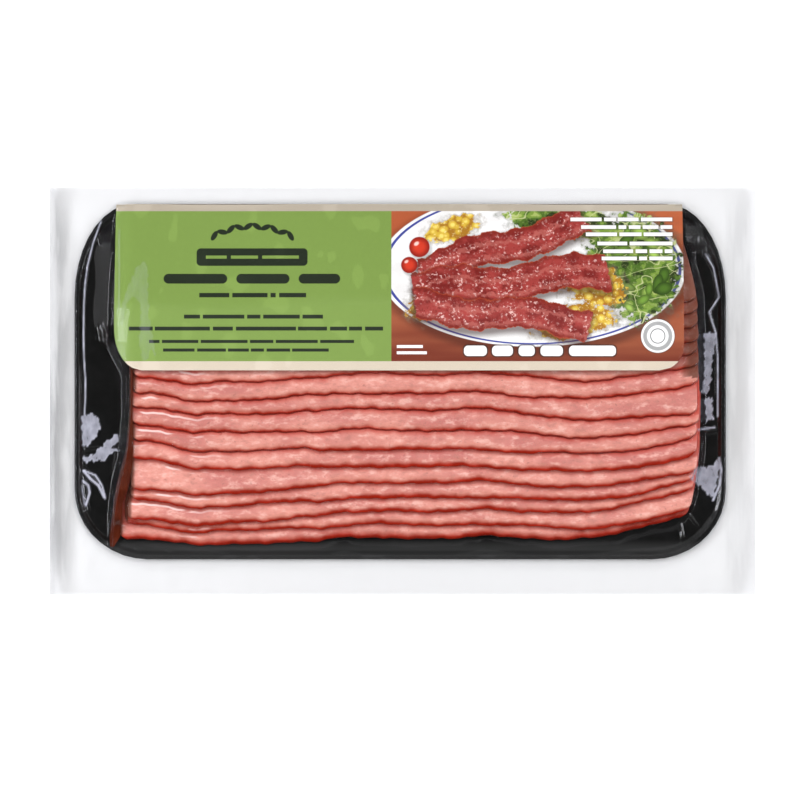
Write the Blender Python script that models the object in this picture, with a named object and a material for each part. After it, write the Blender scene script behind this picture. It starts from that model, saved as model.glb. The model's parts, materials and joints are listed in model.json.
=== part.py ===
"""A vacuum pack of shingled turkey bacon: slices on a black tray, a printed card over them, in clear film.

Metres, +Z up. The pack lies on its back with its shown side up. The origin is under its middle.
"""

import math
import random

import bmesh
import bpy
from mathutils import Vector

MM = 0.001

# Clear film, a sheet with a flat sealed margin
FILM_LENGTH = 273.0 * MM
FILM_WIDTH = 157.2 * MM
FILM_THICK = 0.35 * MM
FILM_CURL = 2.2 * MM
MARGIN_STEPS = 3
FILM_COLUMNS = 18
FILM_ROWS = 9

# Black tray
GAP = 0.3 * MM
TRAY_LENGTH = 252.0 * MM
TRAY_WIDTH = 137.5 * MM
TRAY_CENTRE = Vector((-0.9 * MM, 3.6 * MM))
TRAY_FRONT_CORNER = (28.5 * MM, 27.0 * MM)
TRAY_REAR_CORNER = (23.0 * MM, 36.0 * MM)
TRAY_THICK = 1.1 * MM
TRAY_RIM = 2.9 * MM
TRAY_RIM_WIDTH = 1.7 * MM
TRAY_RIM_SLOPE = 1.6 * MM
TRAY_FOOT_INSET = 2.2 * MM
CORNER_STEPS = 9

# Slices, counted from the front one, which lies on the tray, to the rear one on top
SLICES = 16
SLICE_THICK = 2.05 * MM
SLICE_STEP = SLICE_THICK + GAP
SLICE_WIDTH = 36.0 * MM
SLICE_STATIONS = 19
SLICE_ROWS = 5
REAR_ROWS = (0.45, 0.88)
LEAST_ROW = 0.3 * MM
FRONT_EDGE = (-55.9 * MM, -56.9 * MM, -46.1 * MM)
EDGE_STATIONS = (-104.0 * MM, 5.0 * MM, 112.0 * MM)
# How far back each slice's front edge starts from the one under it, at those three stations
REVEALS = [
    (5.2, 5.0, 1.5),
    (2.1, 5.4, 8.2),
    (7.4, 5.1, 3.2),
    (4.3, 6.0, 3.7),
    (11.2, 6.0, 5.8),
    (6.6, 6.6, 6.6),
    (6.9, 7.3, 5.0),
    (6.6, 8.1, 4.7),
    (5.1, 6.2, 11.2),
    (6.5, 7.4, 6.6),
    (6.2, 5.0, 4.7),
] + [(5.2, 5.2, 5.2)] * 4
# Dips that all slices share: centre along X, half width, depth
DIPS = ((-70.0 * MM, 32.0 * MM, 3.4 * MM), (78.0 * MM, 34.0 * MM, 4.2 * MM))
LEFT_END = -104.3 * MM
LEFT_SPREAD = 5.0 * MM
RIGHT_END = 114.0 * MM
RIGHT_BOW = 6.0 * MM
RIGHT_BOW_REACH = 50.0 * MM
END_RAGGED = 0.7 * MM
CORNER_ROUND = 3.0 * MM
SWELL = 0.045
SWELL_LENGTH = 0.16

# Printed card over the rear of the slices
LABEL_LEFT = -110.7 * MM
LABEL_RIGHT = 108.2 * MM
LABEL_FRONT = 7.9 * MM
LABEL_REAR = 72.1 * MM
LABEL_THICK = 0.4 * MM
LABEL_LAYERS = 6.25
LABEL_SLACK = 0.5
LABEL_EASE = 0.15
LABEL_LEFT_CORNER = (10.5 * MM, 16.0 * MM)
LABEL_RIGHT_CORNER = (9.5 * MM, 9.5 * MM)
LABEL_BEND_START = -103.0 * MM
LABEL_BEND = 42.0
LABEL_COLUMNS = 20
LABEL_ROWS = 12

FLOOR = FILM_THICK + GAP + TRAY_THICK
BED = FLOOR + GAP
PITCH = sum(row[1] for row in REVEALS) * MM / (SLICES - 1)
FIRST_REAR_EDGE = FRONT_EDGE[1] + SLICE_WIDTH


def clear_scene():
    for obj in list(bpy.data.objects):
        bpy.data.objects.remove(obj, do_unlink=True)


def finish(name, bm, colour, roughness, metallic=0.0, alpha=1.0):
    """Turn the mesh into a named object with a material of its own."""
    bmesh.ops.recalc_face_normals(bm, faces=bm.faces)
    mesh = bpy.data.meshes.new(name)
    bm.to_mesh(mesh)
    bm.free()
    material = bpy.data.materials.new(name)
    material.use_nodes = True
    shader = material.node_tree.nodes["Principled BSDF"]
    shader.inputs["Base Color"].default_value = (*colour, 1.0)
    shader.inputs["Roughness"].default_value = roughness
    shader.inputs["Metallic"].default_value = metallic
    shader.inputs["Alpha"].default_value = alpha
    mesh.materials.append(material)
    obj = bpy.data.objects.new(name, mesh)
    bpy.context.scene.collection.objects.link(obj)
    mesh.shade_smooth()
    mesh.set_sharp_from_angle(angle=math.radians(40))
    return obj


def smooth(t):
    t = min(1.0, max(0.0, t))
    return t * t * (3.0 - 2.0 * t)


def mix(a, b, t):
    return a + (b - a) * t


def sheet(columns, rows, thickness, place):
    """A grid laid out by place(u, v), then made solid straight upwards."""
    bm = bmesh.new()
    bmesh.ops.create_grid(bm, x_segments=columns, y_segments=rows, size=0.5)
    for vert in bm.verts:
        vert.co = place(vert.co.x + 0.5, vert.co.y + 0.5)
    lower = bm.faces[:]
    extruded = bmesh.ops.extrude_face_region(bm, geom=lower, use_keep_orig=True)
    upper = [item for item in extruded["geom"] if isinstance(item, bmesh.types.BMVert)]
    bmesh.ops.translate(bm, verts=upper, vec=(0.0, 0.0, thickness))
    return bm


def tray_outline(inset):
    """The tray's rounded outline, drawn in by inset, anticlockwise from the right."""
    half_length = TRAY_LENGTH / 2 - inset
    half_width = TRAY_WIDTH / 2 - inset
    points = []
    for quarter, (right, rear) in enumerate(((1, 1), (-1, 1), (-1, -1), (1, -1))):
        across, along = TRAY_REAR_CORNER if rear > 0 else TRAY_FRONT_CORNER
        across, along = across - inset, along - inset
        for step in range(CORNER_STEPS + 1):
            angle = (quarter + step / CORNER_STEPS) * math.pi / 2
            x = right * (half_length - across) + across * math.cos(angle)
            y = rear * (half_width - along) + along * math.sin(angle)
            points.append((TRAY_CENTRE.x + x, TRAY_CENTRE.y + y))
    return points


def make_tray():
    """A thin plate whose edge turns up into a low flat rim."""
    underside = FILM_THICK + GAP
    rings = (
        (0.0, TRAY_RIM - TRAY_THICK),
        (0.0, TRAY_RIM),
        (TRAY_RIM_WIDTH, TRAY_RIM),
        (TRAY_RIM_WIDTH + TRAY_RIM_SLOPE, FLOOR),
    )
    bm = bmesh.new()
    base = bm.faces.new([bm.verts.new((x, y, underside)) for x, y in tray_outline(TRAY_FOOT_INSET)])
    bottom = base.copy()
    bmesh.ops.reverse_faces(bm, faces=[bottom])
    top = base
    for inset, height in rings:
        extruded = bmesh.ops.extrude_discrete_faces(bm, faces=[top])
        top = extruded["faces"][0]
        for vert, (x, y) in zip(top.verts, tray_outline(inset)):
            vert.co = (x, y, height)
    bmesh.ops.remove_doubles(bm, verts=bm.verts, dist=0.01 * MM)
    return finish("tray", bm, (0.012, 0.012, 0.013), 0.22)


def lines(low, inner_low, inner_high, high, inner_steps):
    """Grid lines from low to high, with MARGIN_STEPS in each margin outside the inner stretch."""
    stretches = (
        (low, inner_low, MARGIN_STEPS),
        (inner_low, inner_high, inner_steps),
        (inner_high, high, MARGIN_STEPS),
    )
    places = [mix(start, end, step / steps) for start, end, steps in stretches for step in range(steps)]
    return places + [high]


def make_film():
    """The clear sheet under everything, its sealed margin curling up a little outside the tray."""
    half_length, half_width = FILM_LENGTH / 2, FILM_WIDTH / 2
    left, right = TRAY_CENTRE.x - TRAY_LENGTH / 2, TRAY_CENTRE.x + TRAY_LENGTH / 2
    front, rear = TRAY_CENTRE.y - TRAY_WIDTH / 2, TRAY_CENTRE.y + TRAY_WIDTH / 2
    columns = lines(-half_length, left, right, half_length, FILM_COLUMNS)
    rows = lines(-half_width, front, rear, half_width, FILM_ROWS)

    def place(u, v):
        x = columns[round(u * (len(columns) - 1))]
        y = rows[round(v * (len(rows) - 1))]
        out_x = max((left - x) / (half_length + left), (x - right) / (half_length - right))
        out_y = max((front - y) / (half_width + front), (y - rear) / (half_width - rear))
        along = 0.75 + 0.25 * math.sin(5.0 * y / half_width + (1.1 if x > 0 else 0.2))
        across = 0.55 + 0.2 * math.sin(6.0 * x / half_length + (0.7 if y > 0 else 2.0))
        return Vector((x, y, FILM_CURL * (smooth(out_x) * along + smooth(out_y) * across)))

    bm = sheet(len(columns) - 1, len(rows) - 1, FILM_THICK, place)
    return finish("film", bm, (0.85, 0.86, 0.87), 0.12, alpha=0.25)


def dip(x):
    """How far the slices bend towards the front at x."""
    return -sum(depth * math.exp(-(((x - centre) / half) ** 2)) for centre, half, depth in DIPS)


def front_edge(index, x):
    """Y of a slice's front edge at x: smooth between three stations, plus the shared dips."""
    left, middle, right = (
        start + sum(row[station] for row in REVEALS[:index]) * MM
        for station, start in enumerate(FRONT_EDGE)
    )
    if x < EDGE_STATIONS[1]:
        run = smooth((x - EDGE_STATIONS[0]) / (EDGE_STATIONS[1] - EDGE_STATIONS[0]))
        return mix(left, middle, run) + dip(x)
    run = (x - EDGE_STATIONS[1]) / (EDGE_STATIONS[2] - EDGE_STATIONS[1])
    return mix(middle, right, min(1.0, run) ** 2) + dip(x)


def rear_edge(index, x):
    """Y at which a slice comes down to the tray: behind it, one more slice has ended."""
    return FIRST_REAR_EDGE + index * PITCH + dip(x)


def slices_ended(x, y):
    """How many slices have ended before y, counted from the front one without steps."""
    return max(0.0, (y - rear_edge(0, x)) / PITCH)


def swell(x, y):
    """The stack's thickness isn't quite even along its length."""
    return 1.0 + SWELL * math.sin(2 * math.pi * (x + 0.6 * y) / SWELL_LENGTH)


def layer_height(layers, x, y):
    """Height of the top of so many layers, where the stack is as thick as at x, y."""
    return BED + SLICE_STEP * (1 + SWELL) * layers * swell(x, y)


def slice_rows(index, x):
    """Y of a slice's grid rows at x: one at its bend, and one near each long edge."""
    front, rear = front_edge(index, x), rear_edge(index, x)
    middle = (front + rear) / 2
    bend = rear_edge(0, x) if front_edge(index, 0.0) < rear_edge(0, 0.0) and index else middle
    bend = max(bend, front + LEAST_ROW)
    return (
        front,
        min(front + CORNER_ROUND, (front + bend) / 2),
        bend,
        mix(bend, rear, REAR_ROWS[0]),
        mix(bend, rear, REAR_ROWS[1]),
        rear,
    )


def make_slice(index, ragged):
    """One long slice, flat where it lies on whole slices and sloping down behind its bend."""
    left_end = LEFT_END - LEFT_SPREAD * math.exp(-index / 1.3) + ragged.uniform(-1, 1) * END_RAGGED
    right_shift = ragged.uniform(-1, 1) * END_RAGGED

    def place(u, v):
        row = round(v * SLICE_ROWS)
        nominal = mix(LEFT_END, RIGHT_END, u)
        rows = slice_rows(index, nominal)
        y = rows[row]
        corner = max(0.0, 1 - min(y - rows[0], rows[-1] - y) / CORNER_ROUND)
        drawn_in = CORNER_ROUND * (1 - math.sqrt(1 - corner**2))
        right_end = RIGHT_END + right_shift - RIGHT_BOW * (y / RIGHT_BOW_REACH) ** 2
        x = mix(left_end + drawn_in, right_end - drawn_in, u)
        y = slice_rows(index, x)[row]
        return Vector((x, y, layer_height(index - slices_ended(x, y), x, y)))

    bm = sheet(SLICE_STATIONS - 1, SLICE_ROWS, SLICE_THICK, place)
    shade = ragged.uniform(0.9, 1.08)
    colour = (0.72 * shade, 0.30 * shade, 0.25 * shade)
    return finish(f"slice_{index + 1:02d}", bm, colour, 0.35)


def label_height(x, y):
    """Underside of the card: level over the slices, then down with them to the tray's rear rim."""
    over_top = SLICES - 1 + LABEL_SLACK - slices_ended(x, y)
    excess = over_top - LABEL_LAYERS
    layers = over_top - (excess + math.sqrt(excess**2 + LABEL_EASE)) / 2
    height = layer_height(layers, x, y) + SLICE_THICK + GAP
    overhang = max(0.0, LABEL_BEND_START - x)
    return max(height - LABEL_BEND * overhang**2, TRAY_RIM + GAP)


def make_label():
    """A thin card whose two front corners are rounded."""

    def place(u, v):
        across = 1 - (1 - v) ** 1.25
        y = mix(LABEL_FRONT, LABEL_REAR, across)
        ends = []
        for end, (reach, depth), inward in (
            (LABEL_LEFT, LABEL_LEFT_CORNER, 1),
            (LABEL_RIGHT, LABEL_RIGHT_CORNER, -1),
        ):
            corner = max(0.0, 1 - (y - LABEL_FRONT) / depth)
            ends.append(end + inward * reach * (1 - math.sqrt(1 - corner**2)))
        x = mix(ends[0], ends[1], u)
        return Vector((x, y, label_height(x, y)))

    bm = sheet(LABEL_COLUMNS, LABEL_ROWS, LABEL_THICK, place)
    return finish("label", bm, (0.24, 0.38, 0.09), 0.35)


def main():
    clear_scene()
    ragged = random.Random(7)
    make_film()
    make_tray()
    for index in range(SLICES):
        make_slice(index, ragged)
    make_label()


main()
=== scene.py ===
"""Looks of a vacuum pack of turkey bacon: slices, tray, printed card and the clear film round them."""

import json
import math
import random

import bpy
import numpy as np
from bpy.props import FloatProperty, FloatVectorProperty, PointerProperty
from bpy.types import Operator, Panel, PropertyGroup
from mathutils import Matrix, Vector

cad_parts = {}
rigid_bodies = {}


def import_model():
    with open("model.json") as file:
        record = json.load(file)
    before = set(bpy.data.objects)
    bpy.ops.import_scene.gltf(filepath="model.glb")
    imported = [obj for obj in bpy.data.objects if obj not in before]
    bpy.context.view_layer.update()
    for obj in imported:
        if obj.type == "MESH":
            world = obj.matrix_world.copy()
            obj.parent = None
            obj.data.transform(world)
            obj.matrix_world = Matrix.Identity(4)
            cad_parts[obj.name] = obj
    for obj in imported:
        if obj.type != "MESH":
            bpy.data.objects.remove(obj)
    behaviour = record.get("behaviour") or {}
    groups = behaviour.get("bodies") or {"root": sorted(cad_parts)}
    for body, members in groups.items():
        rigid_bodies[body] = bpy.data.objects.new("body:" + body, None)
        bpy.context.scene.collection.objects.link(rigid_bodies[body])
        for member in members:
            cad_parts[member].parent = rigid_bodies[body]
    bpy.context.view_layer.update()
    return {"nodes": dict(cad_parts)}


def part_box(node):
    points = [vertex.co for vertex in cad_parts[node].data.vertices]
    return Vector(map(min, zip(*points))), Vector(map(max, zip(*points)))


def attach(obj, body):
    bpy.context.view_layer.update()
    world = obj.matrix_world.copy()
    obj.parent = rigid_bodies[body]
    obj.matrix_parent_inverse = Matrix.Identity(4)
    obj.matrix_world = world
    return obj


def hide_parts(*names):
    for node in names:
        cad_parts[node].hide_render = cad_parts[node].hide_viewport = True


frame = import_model()

bl_info = {
    "name": "Bacon Pack",
    "version": (1, 0, 0),
    "blender": (4, 5, 0),
    "location": "View3D > Sidebar > Pack",
    "description": "Models a vacuum pack of shingled turkey bacon on a black tray",
    "category": "Add Mesh",
}

MM = 0.001

# The photographed view: what the picture's width spans, and the point under its middle
VIEW_WIDTH = 309.8 * MM
VIEW_CENTRE = (-0.97 * MM, -3.5 * MM)
LENS = 300.0
SENSOR = 36.0

# The slices' run, as in the solids: the lowest one's front edge at three stations along X, and how
# much each slice shows in front of the next one there, in millimetres
SLICES = 16
SLICE_STEP = 2.35 * MM
SLICE_WIDTH = 36.0 * MM
FRONT_EDGE = (-55.9 * MM, -56.9 * MM, -46.1 * MM)
EDGE_STATIONS = (-104.0 * MM, 5.0 * MM, 112.0 * MM)
REVEALS = [
    (5.2, 5.0, 1.5),
    (2.1, 5.4, 8.2),
    (7.4, 5.1, 3.2),
    (4.3, 6.0, 3.7),
    (11.2, 6.0, 5.8),
    (6.6, 6.6, 6.6),
    (6.9, 7.3, 5.0),
    (6.6, 8.1, 4.7),
    (5.1, 6.2, 11.2),
    (6.5, 7.4, 6.6),
    (6.2, 5.0, 4.7),
] + [(5.2, 5.2, 5.2)] * 4
# Bends that all the slices share: centre along X, half width and depth
DIPS = ((-70.0 * MM, 32.0 * MM, 3.4 * MM), (78.0 * MM, 34.0 * MM, 4.2 * MM))
# The stack is thicker and thinner by this share, in waves of this length
SWELL = 0.045
SWELL_LENGTH = 0.16
PITCH = sum(row[1] for row in REVEALS) * MM / (SLICES - 1)
FIRST_REAR_EDGE = FRONT_EDGE[1] + SLICE_WIDTH
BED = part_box("slice_01")[0].z
# The right ends lie on a curve, and every corner is rounded
RIGHT_BOW = 6.0 * MM
RIGHT_BOW_REACH = 50.0 * MM
CORNER_ROUND = 3.0 * MM

# Small bends in the slices' front edges: centre along X, half width and depth, in millimetres
KINKS = ((-80.0, 6.0, 0.9), (-32.0, 4.0, 0.7), (-97.0, 5.0, -0.5), (30.0, 9.0, -0.5))
SLICE_STATIONS = 220
# Grid rows across a slice, in millimetres behind its front edge and then as shares of the rest
FRONT_ROWS = (0.0, 1.0, 1.6, 2.4, 3.4, 4.6, 6.2, 8.5)
REST_ROWS = (0.15, 0.33, 0.55, 0.75, 0.9, 1.0)
# The lowest slices' left ends: how many draw in, how far, from which Y, and over what length
DRAWN_SLICES = 3
DRAWN_IN = 3.4 * MM
DRAWN_START = -44.0 * MM
DRAWN_LENGTH = 16.0 * MM
LUMP = 0.12 * MM
# The right ends are bare and wet beside the card, and from a little in front of it
BARE_START = 3.0 * MM
NO_BARE_END = 10.0

# The card, as in the solids
LABEL_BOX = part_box("label")
LABEL_LAYERS = 6.25
LABEL_SLACK = 0.5
LABEL_EASE = 0.15
LABEL_LEFT_CORNER = (10.5 * MM, 16.0 * MM)
LABEL_RIGHT_CORNER = (9.5 * MM, 9.5 * MM)
LABEL_BEND_START = -103.0 * MM
LABEL_BEND = 42.0
LABEL_CLEARANCE = 0.3 * MM
LABEL_GRID = (200, 66)

TRAY_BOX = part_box("tray")
TRAY_EDGE_RADIUS = 0.45 * MM

# The film's sealed margin, as in the solids
FILM_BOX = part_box("film")
FILM_CURL = 2.2 * MM
FILM_THICK = 0.35 * MM


class PackSizes(PropertyGroup):
    """Sizes that a user of the pack would change."""

    slice_thickness: FloatProperty(
        name="Slice Thickness",
        description="Thickness of one slice of bacon",
        default=2.15 * MM,
        min=1.0 * MM,
        max=2.3 * MM,
        unit="LENGTH",
    )
    edge_radius: FloatProperty(
        name="Slice Edge Radius",
        description="How far the browned edges are rounded",
        default=0.75 * MM,
        unit="LENGTH",
    )
    card_thickness: FloatProperty(
        name="Card Thickness",
        description="Thickness of the printed card",
        default=0.38 * MM,
        unit="LENGTH",
    )
    film_gap: FloatProperty(
        name="Film Gap",
        description="Room between the film and what it clings to",
        default=0.1 * MM,
        unit="LENGTH",
    )
    film_pull: FloatProperty(
        name="Film Pull",
        description="How far a round of settling draws the film down: more fits it closer into corners",
        default=0.10 * MM,
        unit="LENGTH",
    )


def colour_property(name, description, red, green, blue):
    return FloatVectorProperty(
        name=name,
        description=description,
        default=(red, green, blue),
        size=3,
        min=0.0,
        max=1.0,
        subtype="COLOR",
    )


class PackColours(PropertyGroup):
    """Colours that a user of the pack would change."""

    meat: colour_property("Meat", "Face of the slices", 0.675, 0.295, 0.243)
    fat: colour_property("Pale Meat", "Paler flecks in the slices", 0.82, 0.50, 0.43)
    rind: colour_property("Browned Edge", "Smoked edge of the slices", 0.25, 0.009, 0.001)
    ends: colour_property("Slice Ends", "Wet ends of the slices beside the card", 0.11, 0.036, 0.020)
    juice: colour_property("Juice", "Brown juice at the slices' ends", 0.065, 0.010, 0.003)
    tray: colour_property("Tray", "Plastic of the tray", 0.003, 0.003, 0.003)
    field: colour_property("Card Field", "Plain field of the card", 0.201, 0.306, 0.067)
    cream: colour_property("Card Border", "Border of the card", 0.62, 0.54, 0.43)
    ink: colour_property("Ink", "Dark ink of the card", 0.016, 0.024, 0.012)
    floor: colour_property("Floor", "Floor under the pack", 0.94, 0.94, 0.94)


def plug(tree, socket, value):
    """Link a wire to the socket, or set the socket's own value."""
    if isinstance(value, Wire):
        tree.links.new(value.socket, socket)
    elif hasattr(value, "__len__") and len(value) == 3 and socket.type == "RGBA":
        socket.default_value = (*value, 1.0)
    else:
        socket.default_value = value


def set_stops(ramp, stops):
    """A stepped ramp with these places and grey levels."""
    ramp.interpolation = "CONSTANT"
    ramp.elements[0].position, ramp.elements[-1].position = stops[0][0], stops[-1][0]
    for position, _ in stops[1:-1]:
        ramp.elements.new(position)
    for element, (_, level) in zip(ramp.elements, stops):
        element.color = (level, level, level, 1.0)


def add_node(tree, kind, settings=None, inputs=None, output=0):
    """A new node: its settings come first, or its ramp's stops, then its sockets' values or links."""
    node = tree.nodes.new(kind)
    for name, value in (settings or {}).items():
        if name == "stops":
            set_stops(node.color_ramp, value)
        else:
            setattr(node, name, value)
    for name, value in (inputs or {}).items():
        plug(tree, node.inputs[name], value)
    return Wire(tree, node.outputs[output])


class Wire:
    """A value in a material, on which Python's operators add Math nodes."""

    def __init__(self, tree, socket):
        self.tree = tree
        self.socket = socket

    def maths(self, operation, *values, clamp=False):
        settings = {"operation": operation, "use_clamp": clamp}
        return add_node(self.tree, "ShaderNodeMath", settings, dict(enumerate(values)))

    def __add__(self, other):
        return self.maths("ADD", self, other)

    def __radd__(self, other):
        return self.maths("ADD", other, self)

    def __sub__(self, other):
        return self.maths("SUBTRACT", self, other)

    def __rsub__(self, other):
        return self.maths("SUBTRACT", other, self)

    def __mul__(self, other):
        return self.maths("MULTIPLY", self, other)

    def __rmul__(self, other):
        return self.maths("MULTIPLY", other, self)

    def __truediv__(self, other):
        return self.maths("DIVIDE", self, other)

    def __pow__(self, other):
        return self.maths("POWER", self, other)

    def __abs__(self):
        return self.maths("ABSOLUTE", self)

    def least(self, other):
        return self.maths("MINIMUM", self, other)

    def most(self, other):
        return self.maths("MAXIMUM", self, other)

    def sine(self):
        return self.maths("SINE", self)

    def root(self):
        return self.maths("SQRT", self)

    def clamped(self):
        return self.maths("ADD", self, 0.0, clamp=True)

    def rise(self, low, high):
        """0 below low and 1 above high, with a soft step between them."""
        settings = {"interpolation_type": "SMOOTHSTEP"}
        inputs = {"Value": self, "From Min": low, "From Max": high}
        return add_node(self.tree, "ShaderNodeMapRange", settings, inputs)

    def fall(self, low, high):
        """1 below low and 0 above high."""
        return 1.0 - self.rise(low, high)


def scaled(colour, *factors):
    """The colour times one factor, or times a factor for each of its parts."""
    parts = factors * 3 if len(factors) == 1 else factors
    return tuple(part * factor for part, factor in zip(colour, parts))


class Finish:
    """A new material, to which nodes are added by kind."""

    def __init__(self, name):
        self.material = bpy.data.materials.new(name)
        self.material.use_nodes = True
        self.tree = self.material.node_tree
        self.shader = self.tree.nodes["Principled BSDF"]

    def add(self, kind, settings=None, inputs=None, output=0):
        return add_node(self.tree, kind, settings, inputs, output)

    def point(self):
        """Object coordinates, in metres."""
        return self.add("ShaderNodeTexCoord", output=3)

    def place(self):
        """The piece's own X, Y and Z in millimetres."""
        node = self.add("ShaderNodeSeparateXYZ", inputs={"Vector": self.point()}).socket.node
        return [Wire(self.tree, axis) * 1000.0 for axis in node.outputs]

    def noise(self, scale, detail=3.0, rough=0.55, stretch=(1.0, 1.0, 1.0), shift=0.0):
        """Noise with features of about 1 / scale metres, longer along an axis with a stretch below 1."""
        moved = {"Vector": self.point(), "Scale": stretch, "Location": (shift, shift, shift)}
        mapped = self.add("ShaderNodeMapping", inputs=moved)
        inputs = {"Vector": mapped, "Scale": scale, "Detail": detail, "Roughness": rough}
        return self.add("ShaderNodeTexNoise", inputs=inputs)

    def cells(self, scale):
        """Distance to the nearest of points that are scattered about 1 / scale metres apart."""
        return self.add("ShaderNodeTexVoronoi", inputs={"Vector": self.point(), "Scale": scale})

    def attribute(self, name):
        """A number that store() has kept for each point."""
        return self.add("ShaderNodeAttribute", {"attribute_name": name}, output=2)

    def mix(self, share, first, second):
        """The first colour where share is 0, the second where it is 1."""
        colours = {0: share, 6: first, 7: second}
        return self.add("ShaderNodeMix", {"data_type": "RGBA"}, colours, 2)

    def bump(self, height, distance, strength):
        inputs = {"Height": height, "Distance": distance, "Strength": strength}
        return self.add("ShaderNodeBump", inputs=inputs)

    def set(self, **inputs):
        """Principled inputs, written with _ for a space."""
        for name, value in inputs.items():
            plug(self.tree, self.shader.inputs[name.replace("_", " ")], value)
        return self.material


def clean_select(*objects):
    """Only these objects are selected, and the first of them is active."""
    if bpy.context.mode != "OBJECT":
        bpy.ops.object.mode_set(mode="OBJECT")
    bpy.ops.object.select_all(action="DESELECT")
    for obj in objects:
        obj.select_set(True)
    if objects:
        bpy.context.view_layer.objects.active = objects[0]


def points_of(obj):
    points = np.empty(len(obj.data.vertices) * 3)
    obj.data.vertices.foreach_get("co", points)
    return points.reshape(-1, 3)


def set_points(obj, points):
    obj.data.vertices.foreach_set("co", points.ravel())
    obj.data.update()


def add_grid(name, columns, rows, place):
    """A grid whose points are laid out by place, which takes arrays of their columns and rows."""
    clean_select()
    bpy.ops.mesh.primitive_grid_add(x_subdivisions=columns, y_subdivisions=rows, size=2.0)
    obj = bpy.context.object
    obj.name = obj.data.name = name
    points = points_of(obj)
    column = np.round((points[:, 0] + 1) / 2 * columns).astype(int)
    row = np.round((points[:, 1] + 1) / 2 * rows).astype(int)
    set_points(obj, place(column, row))
    return obj


def add_modifier(obj, kind, **settings):
    """Add a modifier with these settings and apply it."""
    clean_select(obj)
    bpy.ops.object.modifier_add(type=kind)
    modifier = obj.modifiers[-1]
    for name, value in settings.items():
        setattr(modifier, name, value)
    bpy.ops.object.modifier_apply(modifier=modifier.name)


def edit(obj, *steps):
    """Run operators in edit mode on all of the piece's faces."""
    clean_select(obj)
    bpy.ops.object.mode_set(mode="EDIT")
    bpy.ops.mesh.select_all(action="SELECT")
    for step, settings in steps:
        step(**settings)
    bpy.ops.object.mode_set(mode="OBJECT")


def round_edges(obj, width, angle):
    """Round the edges whose faces meet at more than this angle, in degrees."""
    add_modifier(
        obj,
        "BEVEL",
        width=width,
        segments=3,
        limit_method="ANGLE",
        angle_limit=math.radians(angle),
    )


def store(obj, name, values):
    """Keep a number for each point, which the piece's material reads."""
    layer = obj.data.attributes.new(name, "FLOAT", "POINT")
    layer.data.foreach_set("value", np.asarray(values, np.float32))


def finish_piece(obj, material, replaced, angle=50):
    """Shade the piece, give it its material, and tie it to the pack."""
    clean_select(obj)
    bpy.ops.object.shade_smooth_by_angle(angle=math.radians(angle))
    obj.data.materials.clear()
    obj.data.materials.append(material)
    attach(obj, "root")
    if replaced:
        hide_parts(*replaced)


def smooth(t):
    """0 to 1 with a soft start and end, as t goes from 0 to 1."""
    t = np.clip(t, 0.0, 1.0)
    return t * t * (3.0 - 2.0 * t)


def soft_waves(x, rng, lengths, height):
    """Uneven waves along x: a sum of sines of these lengths, higher where they are longer."""
    total = 0.0
    for length in lengths:
        total = total + rng.uniform(0.5, 1.0) * length * np.sin(2 * np.pi * (x / length + rng.random()))
    return height * total / sum(lengths)


def dip(x):
    """How far the slices bend towards the front at x."""
    return -sum(depth * np.exp(-(((x - centre) / half) ** 2)) for centre, half, depth in DIPS)


def front_edge(index, x):
    """Y of a slice's front edge at x: smooth between three stations, plus the shared dips."""
    left, middle, right = (
        start + sum(row[station] for row in REVEALS[:index]) * MM
        for station, start in enumerate(FRONT_EDGE)
    )
    first, second, third = EDGE_STATIONS
    near = left + (middle - left) * smooth((x - first) / (second - first))
    run = np.clip((x - second) / (third - second), 0.0, 1.0)
    return np.where(x < second, near, middle + (right - middle) * run**2) + dip(x)


def rear_edge(index, x):
    """Y of a slice's rear edge at x."""
    return FIRST_REAR_EDGE + index * PITCH + dip(x)


def slices_ended(x, y):
    """How many slices have ended before y, counted from the front one without steps."""
    return np.maximum(0.0, (y - rear_edge(0, x)) / PITCH)


def layer_height(layers, x, y):
    """Height of the top of so many layers, where the stack is as thick as at x, y."""
    swell = 1.0 + SWELL * np.sin(2 * np.pi * (x + 0.6 * y) / SWELL_LENGTH)
    return BED + SLICE_STEP * (1 + SWELL) * layers * swell


def kinks(x):
    """Small bends that the slices' front edges share."""
    return -sum(depth * MM * np.exp(-(((x / MM - centre) / half) ** 2)) for centre, half, depth in KINKS)


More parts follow.
